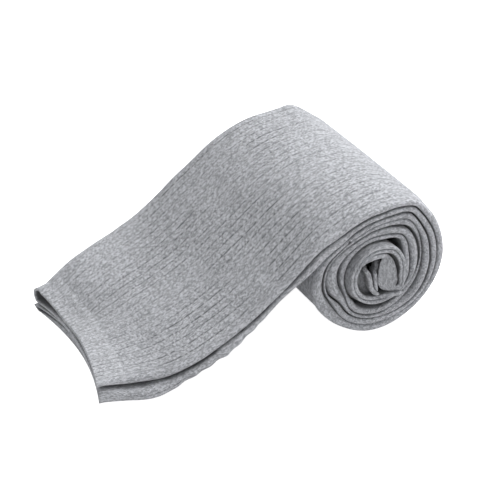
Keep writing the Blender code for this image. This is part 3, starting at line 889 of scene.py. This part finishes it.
def toe_shell(name, crest, side, deep, roundness, shade, material):
    """Closed shell along a crest, rounded where it faces the near end."""
    ends = np.linspace(0, 1, len(crest))
    taper = np.clip(np.minimum(ends, 1 - ends) / TOE_TAPER, 0.0, 1.0)
    taper = np.sqrt(np.clip(1 - (1 - taper) ** 2, 0.02, 1.0))[:, None]
    angle = np.linspace(0, 2 * pi, TOE_ROUND, endpoint=False)
    wide = np.sign(np.cos(angle)) * np.abs(np.cos(angle)) ** roundness
    front = np.sin(angle)
    lean = np.where(front > 0, FRONT_SHARE, 1 - FRONT_SHARE)
    points = crest[:, None] + side[:, None] * (taper * wide)[..., None]
    points[..., 1] -= deep[:, None] * taper * front * lean
    reach = np.concatenate([[0], np.cumsum(np.linalg.norm(np.diff(crest, axis=0), axis=1))])
    half = np.linalg.norm(side, axis=1)[:, None]
    cloth_x = wide * half + np.where(front < 0, *TOE_CLOTH)
    cloth = np.stack(np.broadcast_arrays(cloth_x, reach[:, None] + TOE_REACH), -1)
    # Painted shade: darker on each piece's back, plus its own share.
    behind = np.clip(np.clip(0.5 - front, 0, 1.0) + shade, 0, 1)
    shell = Shell()
    loops = shell.add(points, cloth, np.stack([np.zeros_like(behind), behind], -1))
    shell.skin(loops, flip=True)
    shell.cap(loops[0])
    shell.cap(loops[-1], flip=True)
    return shell.build(name, material)


# ---- materials ----
class Value:
    """A node's output, for sums written with the usual signs."""

    def __init__(self, socket):
        self.socket = socket

    def math(self, operation, *others):
        return reckon(self.socket.id_data, operation, self, *others)

    def __add__(self, other):
        return self.math("ADD", other)

    def __sub__(self, other):
        return self.math("SUBTRACT", other)

    def __rsub__(self, other):
        return reckon(self.socket.id_data, "SUBTRACT", other, self)

    def __mul__(self, other):
        return self.math("MULTIPLY", other)

    def __truediv__(self, other):
        return self.math("DIVIDE", other)

    def __abs__(self):
        return self.math("ABSOLUTE")


def reckon(tree, operation, *values):
    """The outcome of a sum on numbers or other nodes' outputs."""
    made = node(tree, "ShaderNodeMath", operation=operation)
    for socket, value in zip(made.inputs, values):
        feed(socket, value)
    return Value(made.outputs[0])


def feed(socket, value):
    """Give an input a plain value or another node's output."""
    if isinstance(value, Value):
        value = value.socket
    if isinstance(value, bpy.types.NodeSocket):
        socket.id_data.links.new(value, socket)
    else:
        socket.default_value = value


def fit(made, **settings):
    """Set a node up. in_ starts an input's name, with _ for each space, or its number."""
    for key, value in settings.items():
        if key.startswith("in_"):
            label = key[3:].replace("_", " ")
            feed(made.inputs[int(label) if label.isdigit() else label], value)
        else:
            setattr(made, key, value)
    return made


def node(tree, kind, **settings):
    return fit(tree.nodes.new(kind), **settings)


def noise(tree, where, scale, **settings):
    made = node(tree, "ShaderNodeTexNoise", in_Vector=where, in_Scale=scale, **settings)
    return Value(made.outputs["Fac"])


def blend(tree, share, first, second, **settings):
    """A colour between two others."""
    made = node(tree, "ShaderNodeMix", data_type="RGBA", in_0=share, in_6=first, in_7=second,
                **settings)
    return made.outputs[2]


def parted(vector):
    """The three parts of a vector."""
    split = node(vector.id_data, "ShaderNodeSeparateXYZ", in_0=vector)
    return [Value(part) for part in split.outputs]


def new_material(name):
    material = bpy.data.materials.new(name)
    material.use_nodes = True
    return material, material.node_tree, material.node_tree.nodes["Principled BSDF"]


def new_group(name, outputs, **numbers):
    """A group that takes the cloth's coordinates and some numbers."""
    group = bpy.data.node_groups.new(name, "ShaderNodeTree")
    group.interface.new_socket("Cloth", in_out="INPUT", socket_type="NodeSocketVector")
    for label, value in numbers.items():
        socket = group.interface.new_socket(label.replace("_", " "), in_out="INPUT",
                                            socket_type="NodeSocketFloat")
        socket.default_value = value
    for label in outputs:
        group.interface.new_socket(label, in_out="OUTPUT", socket_type="NodeSocketFloat")
    start = node(group, "NodeGroupInput", location=(-900, 0))
    end = node(group, "NodeGroupOutput", location=(900, 0))
    return group, start.outputs, end.inputs


STITCH_SLANT = 1.2             # rows that a stitch's leg climbs in one stitch across


def knit_group():
    """Stitches of the knit: their relief, and a shade for each stitch and fibre."""
    group, start, end = new_group("Knit Stitches", ("Height", "Shade"), Wale=1.07, Course=0.85)
    across, along, _ = parted(start["Cloth"])
    column = across / start["Wale"]
    half = abs(column.math("FRACT") - 0.5)
    slanted = along / start["Course"] + half * STITCH_SLANT
    ridge = 1.0 - abs(slanted.math("FRACT") - 0.5) * 2.0
    leg = (half * (2 * pi)).math("SINE")
    feed(end["Height"], ridge * abs(leg))
    cell = node(group, "ShaderNodeCombineXYZ", in_0=(column * 2.0).math("FLOOR"),
                in_1=slanted.math("FLOOR"))
    speck = node(group, "ShaderNodeTexWhiteNoise", noise_dimensions="2D", in_Vector=cell.outputs[0])
    feed(end["Shade"], speck.outputs["Value"])
    return group


def marl_group():
    """Uneven light and dark of a marled yarn, from fine fibres to broad patches."""
    group, start, end = new_group("Marled Yarn", ("Shade",), Stitch_Shade=0.5, Stitch_Share=0.5,
                                  Streak=0.5, Patch=0.2)
    drawn = node(group, "ShaderNodeMapping", in_Vector=start["Cloth"], in_Scale=(1.25, 1.0, 1.0))
    streak = noise(group, drawn.outputs[0], 2.3, in_Detail=3.0, in_Roughness=0.7)
    patch = noise(group, start["Cloth"], 0.09, in_Detail=2.0)
    total = ((Value(start["Stitch Shade"]) - 0.5) * start["Stitch Share"]
             + (streak - 0.5) * start["Streak"] + (patch - 0.5) * start["Patch"])
    feed(end["Shade"], total + 0.5)
    return group


# How fast a line's dashes follow each other, and how noise becomes their darkness.
Dashes = namedtuple("Dashes", "rate low high faintest darkest")
RIB_DASHES = Dashes(0.60, 0.36, 0.60, 0.18, 1.0)
BETWEEN_DASHES = Dashes(0.75, 0.42, 0.68, 0.0, 0.55)
CROSS_DASHES = Dashes(0.9, 0.40, 0.66, 0.0, 0.42)
LINE_STEP = 7.31               # from one line to the next in the noise that breaks them up
ROW_STEP = 0.37                # rows by which one half rib's marks lie past the last one's


def dashed_lines(group, place_in, along, thin, pitch, dashes):
    """Darkness of thin lines at whole numbers of place_in, broken into dashes."""
    number = place_in.math("ROUND")
    fine = (1.0 - abs(place_in - number) * pitch / thin).math("MAXIMUM", 0.0)
    spot = node(group, "ShaderNodeCombineXYZ", in_0=number * LINE_STEP, in_1=along * dashes.rate)
    broken = noise(group, spot.outputs[0], 1.0, in_Detail=2.5, in_Roughness=0.6)
    shown = node(group, "ShaderNodeMapRange", interpolation_type="SMOOTHSTEP", in_Value=broken,
                 in_From_Min=dashes.low, in_From_Max=dashes.high, in_To_Min=dashes.faintest,
                 in_To_Max=dashes.darkest)
    return fine * shown.outputs["Result"]


def groove_group():
    """Painted shade: thin dark lines in the grooves between the ribs, fainter ones between them and
    marks across.
    """
    group, start, end = new_group("Rib Grooves", ("Darkness",), Rib=4.286, Thin=0.50,
                                  Wander=0.25, Course=1.7)
    rib, thin, course = start["Rib"], start["Thin"], start["Course"]
    across, along, _ = parted(start["Cloth"])
    aside = (noise(group, start["Cloth"], 0.35, in_Detail=3.0) - 0.5) * start["Wander"]
    place_in = (across + LEG_HALF_WIDTH * 1000 + aside) / rib
    bold = dashed_lines(group, place_in, along, thin, rib, RIB_DASHES)
    faint = dashed_lines(group, place_in + 0.5, along, thin, rib, BETWEEN_DASHES)
    column = (place_in * 2.0).math("FLOOR")
    row = along / course + column * ROW_STEP
    marks = dashed_lines(group, row, column, Value(thin) * 0.8, course, CROSS_DASHES)
    feed(end["Darkness"], bold.math("MAXIMUM", faint).math("MAXIMUM", marks))
    return group


def shared_group(name, maker):
    return bpy.data.node_groups.get(name) or maker()


def darker(colour, share):
    return tuple(part * share for part in colour[:3]) + (1.0,)


LINE_TONE = 0.20               # colour of the painted shade lines in the grooves, as a share of the dark yarn's
CREASE_SHADE_TONE = 0.12             # and of the painted shade in the deepest creases
CREASE_SHADE_SHARE = 0.56            # how much of that painted shade colour a full crease takes
FIBRE_RELIEF = 0.7             # how rough the yarn is beside its stitches


def cloth_material(name, dark, light, wale, grooves, rib):
    """Marled rib knit: stitches, painted shade in the grooves between ribs and in creases, and a
    soft nap.
    """
    material, tree, shader = new_material(name)
    cloth = node(tree, "ShaderNodeUVMap", location=(-1200, 0), uv_map="cloth").outputs["UV"]
    knit = node(tree, "ShaderNodeGroup", location=(-1000, 0),
                node_tree=shared_group("Knit Stitches", knit_group), in_Cloth=cloth, in_Wale=wale)
    marl = node(tree, "ShaderNodeGroup", location=(-800, 200),
                node_tree=shared_group("Marled Yarn", marl_group), in_Cloth=cloth,
                in_Stitch_Shade=knit.outputs["Shade"], in_Stitch_Share=1.0, in_Streak=2.4,
                in_Patch=0.16)
    lines = node(tree, "ShaderNodeGroup", location=(-800, -300),
                 node_tree=shared_group("Rib Grooves", groove_group), in_Cloth=cloth, in_Rib=rib)
    groove = node(tree, "ShaderNodeAttribute", location=(-800, -200), attribute_name="groove")
    crease = node(tree, "ShaderNodeAttribute", location=(-800, -600), attribute_name="crease")
    fibre = noise(tree, cloth, 1.3, in_Detail=3.0, location=(-800, -400))
    depth = Value(groove.outputs["Fac"]) * (Value(lines.outputs["Darkness"]) * grooves)
    painted_shade = Value(crease.outputs["Fac"]) * CREASE_SHADE_SHARE
    yarn = blend(tree, marl.outputs["Shade"], dark, light, location=(-560, 200))
    # Painted shade: the groove lines, then the creases, darken the yarn's colour.
    yarn = blend(tree, depth, yarn, darker(dark, LINE_TONE), location=(-300, 200))
    yarn = blend(tree, painted_shade, yarn, darker(dark, CREASE_SHADE_TONE), location=(-150, 200))
    relief = Value(knit.outputs["Height"]) + fibre * FIBRE_RELIEF
    bump = node(tree, "ShaderNodeBump", location=(-300, -200), in_Strength=0.55,
                in_Distance=0.00025, in_Height=relief)
    fit(shader, in_Base_Color=yarn, in_Normal=bump.outputs[0], in_Roughness=0.92,
        in_Specular_IOR_Level=0.2, in_Sheen_Weight=0.25, in_Sheen_Roughness=0.5)
    return material


def fibre_material():
    """Loose fibre ends, lighter and darker like the yarn."""
    look = sock_cloth()
    material, tree, shader = new_material("loose_fibre")
    spot = node(tree, "ShaderNodeTexCoord", location=(-700, 100)).outputs["Object"]
    tone = noise(tree, spot, 900.0, in_Detail=2.0, location=(-500, 100))
    yarn = blend(tree, tone, tuple(look.dark), tuple(look.light), location=(-300, 100))
    fit(shader, in_Base_Color=yarn, in_Roughness=0.9, in_Specular_IOR_Level=0.2)
    return material


# ---- loose fibres, by Geometry Nodes ----
FIBRE_THICK = 0.000022
FIBRE_TILT = 1.1               # most that a fibre leans from the cloth, each way
FIBRE_BEND = 0.7               # how far its tip bends aside, as a share of its length
FIBRE_SIZES = (0.45, 1.25)
NEAR_EDGE = -42.0              # cloth beyond this across is open along the whole sock
OPEN_CREASE = 0.3              # fibres stand where the painted crease shade is paler than this
OFF_FLOOR = 0.003


def fibre_tree():
    """Short bent fibre ends scattered over the cloth that is open to the room."""
    tree = bpy.data.node_groups.new("Loose Fibres", "GeometryNodeTree")
    for label, kind in (("Cloth", "Geometry"), ("Density", "Float"), ("Length", "Float"),
                        ("Thickness", "Float"), ("Open Until", "Float"), ("Seed", "Int"),
                        ("Material", "Material")):
        tree.interface.new_socket(label, in_out="INPUT", socket_type="NodeSocket" + kind)
    tree.interface.new_socket("Fibres", in_out="OUTPUT", socket_type="NodeSocketGeometry")
    given = node(tree, "NodeGroupInput", location=(-900, 0)).outputs

    def attribute(label, kind):
        made = node(tree, "GeometryNodeInputNamedAttribute", data_type=kind, in_Name=label)
        return made.outputs[0]

    def compare(operation, first, second):
        made = node(tree, "FunctionNodeCompare", data_type="FLOAT", operation=operation,
                    in_0=first, in_1=second)
        return made.outputs[0]

    def both(operation, first, second):
        made = node(tree, "FunctionNodeBooleanMath", operation=operation, in_0=first, in_1=second)
        return made.outputs[0]

    across, along, _ = parted(attribute("cloth", "FLOAT_VECTOR"))
    height = parted(node(tree, "GeometryNodeInputPosition").outputs[0])[2]
    outside = compare("LESS_THAN", along, given["Open Until"])
    near_edge = compare("LESS_THAN", across, NEAR_EDGE)
    open_air = compare("LESS_THAN", attribute("crease", "FLOAT"), OPEN_CREASE)
    off_floor = compare("GREATER_THAN", height, OFF_FLOOR)
    chosen = both("AND", both("AND", open_air, off_floor), both("OR", outside, near_edge))
    spread = node(tree, "GeometryNodeDistributePointsOnFaces", distribute_method="RANDOM",
                  in_Mesh=given["Cloth"], in_Selection=chosen, in_Density=given["Density"],
                  in_Seed=given["Seed"])
    length, thick = Value(given["Length"]), Value(given["Thickness"])
    fibre = node(tree, "GeometryNodeMeshCone", fill_type="TRIANGLE_FAN", in_Vertices=3,
                 in_Side_Segments=3, in_Depth=length, in_Radius_Bottom=thick,
                 in_Radius_Top=thick * 0.3)
    part = height / length
    lean = part * part * (length * FIBRE_BEND)
    aside = node(tree, "ShaderNodeCombineXYZ", in_0=lean, in_2=lean * -0.3)
    bend = node(tree, "GeometryNodeSetPosition", in_Geometry=fibre.outputs["Mesh"],
                in_Offset=aside.outputs[0])
    tilt = node(tree, "FunctionNodeRandomValue", data_type="FLOAT_VECTOR",
                in_0=(-FIBRE_TILT, -FIBRE_TILT, -pi), in_1=(FIBRE_TILT, FIBRE_TILT, pi),
                in_Seed=given["Seed"])
    turn = node(tree, "FunctionNodeRotateRotation", rotation_space="LOCAL",
                in_0=spread.outputs["Rotation"], in_1=tilt.outputs[0])
    smallest, largest = FIBRE_SIZES
    size = node(tree, "FunctionNodeRandomValue", data_type="FLOAT", in_2=smallest, in_3=largest,
                in_Seed=given["Seed"])
    plant = node(tree, "GeometryNodeInstanceOnPoints", in_Points=spread.outputs["Points"],
                 in_Instance=bend.outputs[0], in_Rotation=turn.outputs[0],
                 in_Scale=size.outputs[1])
    real = node(tree, "GeometryNodeRealizeInstances", in_0=plant.outputs[0])
    finish = node(tree, "GeometryNodeSetMaterial", in_Geometry=real.outputs[0],
                  in_Material=given["Material"])
    node(tree, "NodeGroupOutput", location=(900, 0), in_0=finish.outputs[0])
    return tree


def grow_fibres(name, piece, open_until, seed, tree, material):
    """A plain mesh of the loose fibres that stand on a piece."""
    look = sock_cloth()
    base = bpy.data.objects.new(name + "_base", piece.data.copy())
    bpy.context.scene.collection.objects.link(base)
    modifier = base.modifiers.new("fibres", "NODES")
    modifier.node_group = tree
    values = {"Density": look.fuzz, "Length": look.fibre_length, "Thickness": FIBRE_THICK,
              "Open Until": open_until, "Seed": seed, "Material": material}
    for item in tree.interface.items_tree:
        if item.in_out == "INPUT" and item.name in values:
            modifier[item.identifier] = values[item.name]
    grown = bpy.data.meshes.new_from_object(
        base.evaluated_get(bpy.context.evaluated_depsgraph_get()))
    base.modifiers.clear()
    old = base.data
    bpy.data.objects.remove(base)
    bpy.data.meshes.remove(old)
    grown.name = name
    made = bpy.data.objects.new(name, grown)
    bpy.context.scene.collection.objects.link(made)
    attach(made, "root")


# ---- sizes and colours a user would change ----
class SockCloth(bpy.types.PropertyGroup):
    """The socks' yarn."""
    dark: bpy.props.FloatVectorProperty(
        name="Dark yarn", description="Darker fibre of the marled yarn", subtype="COLOR", size=4,
        default=(0.303, 0.311, 0.333, 1.0), min=0.0, max=1.0)
    light: bpy.props.FloatVectorProperty(
        name="Light yarn", description="Lighter fibre of the marled yarn", subtype="COLOR",
        size=4, default=(0.703, 0.717, 0.758, 1.0), min=0.0, max=1.0)
    welt_dark: bpy.props.FloatVectorProperty(
        name="Dark welt yarn", description="Darker fibre at the welts", subtype="COLOR", size=4,
        default=(0.343, 0.352, 0.375, 1.0), min=0.0, max=1.0)
    welt_light: bpy.props.FloatVectorProperty(
        name="Light welt yarn", description="Lighter fibre at the welts", subtype="COLOR",
        size=4, default=(0.757, 0.772, 0.815, 1.0), min=0.0, max=1.0)
    wale: bpy.props.FloatProperty(
        name="Stitch width", description="Width of one column of stitches, in millimetres",
        default=1.07, min=0.4, max=3.0)
    # How dark the painted shade lines in the grooves between ribs are.
    grooves: bpy.props.FloatProperty(
        name="Groove darkness", description="How dark the grooves between ribs look",
        default=1.0, min=0.0, max=1.0, subtype="FACTOR")
    fuzz: bpy.props.FloatProperty(
        name="Fuzz", description="Loose fibre ends on a square metre of cloth", default=190000.0,
        min=0.0)
    fibre_length: bpy.props.FloatProperty(
        name="Fibre length", description="Length of a loose fibre end", default=0.0011,
        min=0.0001, subtype="DISTANCE", unit="LENGTH")


class SockStage(bpy.types.PropertyGroup):
    """Floor, light and camera."""
    lens: bpy.props.FloatProperty(
        name="Lens", description="Focal length on a 36 mm wide sensor, in millimetres",
        default=102.319, min=10.0)
    key: bpy.props.FloatProperty(
        name="Main light", description="Power of the large soft light, in watts", default=7.3,
        min=0.0)
    fill: bpy.props.FloatProperty(
        name="Room light", description="Strength of the white room", default=0.54, min=0.0)


def sock_cloth():
    return bpy.context.scene.sock_cloth


# ---- operators ----
def settle(piece, slot):
    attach(piece, "root")
    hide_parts(slot)


class SOCKS_OT_legs(bpy.types.Operator):
    """Build the legs and feet of both socks"""
    bl_idname = "socks.build_legs"
    bl_label = "Build legs and feet"

    def execute(self, context):
        look = sock_cloth()
        material = cloth_material("marled_rib_knit", tuple(look.dark), tuple(look.light),
                                  look.wale, look.grooves, 2000 * LEG_HALF_WIDTH / LEG_RIBS)
        lower = make_leg("lower_leg_knit", False, LOWER_END, material)
        upper = make_leg("upper_leg_knit", True, UPPER_END, material)
        toes = [toe_flap("toe_flap", TOE_FLAP, material)]
        toes += [toe_fold(name, rows, material) for name, rows in TOE_FOLDS.items()]
        for piece in toes:
            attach(piece, "root")
        settle(lower, "lower_sock_leg")
        settle(upper, "upper_sock_leg")
        return {"FINISHED"}


class SOCKS_OT_welts(bpy.types.Operator):
    """Build the finer ribbed welts round both mouths"""
    bl_idname = "socks.build_welts"
    bl_label = "Build welts"

    def execute(self, context):
        look = sock_cloth()
        material = cloth_material("marled_welt_knit", tuple(look.welt_dark),
                                  tuple(look.welt_light), look.wale, look.grooves * 0.8,
                                  2000 * LEG_HALF_WIDTH / WELT_RIBS)
        lower = make_welt("lower_welt_knit", False, material)
        upper = make_welt("upper_welt_knit", True, material)
        settle(lower, "lower_sock_welt")
        settle(upper, "upper_sock_welt")
        return {"FINISHED"}


# How far along each sock its outer face is open to the room, in millimetres.
FUZZ = (("upper_leg", 345.0), ("lower_leg", 150.0), ("upper_welt", 345.0), ("lower_welt", 150.0))


class SOCKS_OT_fuzz(bpy.types.Operator):
    """Scatter loose fibre ends over the cloth"""
    bl_idname = "socks.build_fuzz"
    bl_label = "Build fuzz"

    def execute(self, context):
        tree = fibre_tree()
        material = fibre_material()
        for seed, (piece, open_until) in enumerate(FUZZ, start=3):
            grow_fibres(piece + "_fuzz", bpy.data.objects[piece + "_knit"],
                        open_until, seed, tree, material)
        return {"FINISHED"}


# ---- the stage ----
CAMERA_PLACE = Vector((-0.2494, -0.4535, 0.3805))
CAMERA_TURN = (-29.454, 33.939, 1.663)  # degrees round Z, downwards and about its own axis
FLOOR_HALF = 3.0


def camera_matrix():
    turn, tilt, roll = (radians(a) for a in CAMERA_TURN)
    ahead = Vector((-sin(turn) * cos(tilt), cos(turn) * cos(tilt), -sin(tilt)))
    right = Vector((cos(turn), sin(turn), 0))
    up = right.cross(ahead)
    right, up = right * cos(roll) + up * sin(roll), up * cos(roll) - right * sin(roll)
    rows = [(right[k], up[k], -ahead[k], CAMERA_PLACE[k]) for k in range(3)]
    return Matrix(rows + [(0, 0, 0, 1)])


def floor_material():
    material, tree, shader = new_material("pale_floor")
    spot = node(tree, "ShaderNodeTexCoord", location=(-700, 100)).outputs["Object"]
    tone = noise(tree, spot, 3.0, in_Detail=2.0, location=(-500, 100))
    pale = blend(tree, tone, (0.86, 0.86, 0.86, 1), (0.88, 0.88, 0.88, 1), location=(-300, 100))
    seen = node(tree, "ShaderNodeLightPath", location=(-500, -200))
    fit(shader, in_Base_Color=pale, in_Roughness=0.9, in_Emission_Color=(1, 1, 1, 1),
        in_Emission_Strength=Value(seen.outputs["Is Camera Ray"]) * 0.96)
    return material


def soft_light(name, spot, aim, size, power):
    data = bpy.data.lights.new(name, "AREA")
    data.shape = "RECTANGLE"
    data.size, data.size_y = size
    data.energy = power
    made = bpy.data.objects.new(name, data)
    made.location = spot
    made.rotation_euler = (Vector(aim) - Vector(spot)).to_track_quat("-Z", "Y").to_euler()
    bpy.context.scene.collection.objects.link(made)


class SOCKS_OT_stage(bpy.types.Operator):
    """Lay the floor, hang the soft lights and set up the camera"""
    bl_idname = "socks.build_stage"
    bl_label = "Build stage"

    def execute(self, context):
        scene = context.scene
        look = scene.sock_stage
        data = bpy.data.meshes.new("floor")
        corners = ((-1, -1), (1, -1), (1, 1), (-1, 1))
        data.from_pydata([(x * FLOOR_HALF, y * FLOOR_HALF, 0) for x, y in corners], [],
                         [(0, 1, 2, 3)])
        data.materials.append(floor_material())
        floor = bpy.data.objects.new("floor", data)
        scene.collection.objects.link(floor)
        world = bpy.data.worlds.new("white_room")
        world.use_nodes = True
        back = world.node_tree.nodes["Background"]
        back.inputs[0].default_value = (1, 1, 1, 1)
        back.inputs[1].default_value = look.fill
        scene.world = world
        soft_light("main_softbox", (0.62, -0.02, 0.74), (0.0, 0.0, 0.03), (0.45, 0.40), look.key)
        lens = bpy.data.cameras.new("photo_view")
        lens.sensor_width = 36
        lens.lens = look.lens
        lens.clip_start = 0.01
        camera = bpy.data.objects.new("photo_view", lens)
        camera.matrix_world = camera_matrix()
        scene.collection.objects.link(camera)
        scene.camera = camera
        scene.view_settings.view_transform = "Standard"
        return {"FINISHED"}


class SOCKS_PT_panel(bpy.types.Panel):
    """Sizes, colours and steps of the rolled socks"""
    bl_label = "Rolled Socks"
    bl_space_type = "VIEW_3D"
    bl_region_type = "UI"
    bl_category = "Socks"

    def draw(self, context):
        column = self.layout.column()
        for group in (context.scene.sock_cloth, context.scene.sock_stage):
            for name in group.__annotations__:
                column.prop(group, name)
        for operator in OPERATORS:
            column.operator(operator.bl_idname)


OPERATORS = (SOCKS_OT_legs, SOCKS_OT_welts, SOCKS_OT_fuzz, SOCKS_OT_stage)
CLASSES = (SockCloth, SockStage) + OPERATORS + (SOCKS_PT_panel,)


def register():
    for item in CLASSES:
        bpy.utils.register_class(item)
    bpy.types.Scene.sock_cloth = bpy.props.PointerProperty(type=SockCloth)
    bpy.types.Scene.sock_stage = bpy.props.PointerProperty(type=SockStage)


def unregister():
    del bpy.types.Scene.sock_stage
    del bpy.types.Scene.sock_cloth
    for item in reversed(CLASSES):
        bpy.utils.unregister_class(item)


def main():
    register()
    bpy.ops.socks.build_stage()
    bpy.ops.socks.build_legs()
    bpy.ops.socks.build_welts()
    bpy.ops.socks.build_fuzz()


if __name__ == "__main__":
    main()
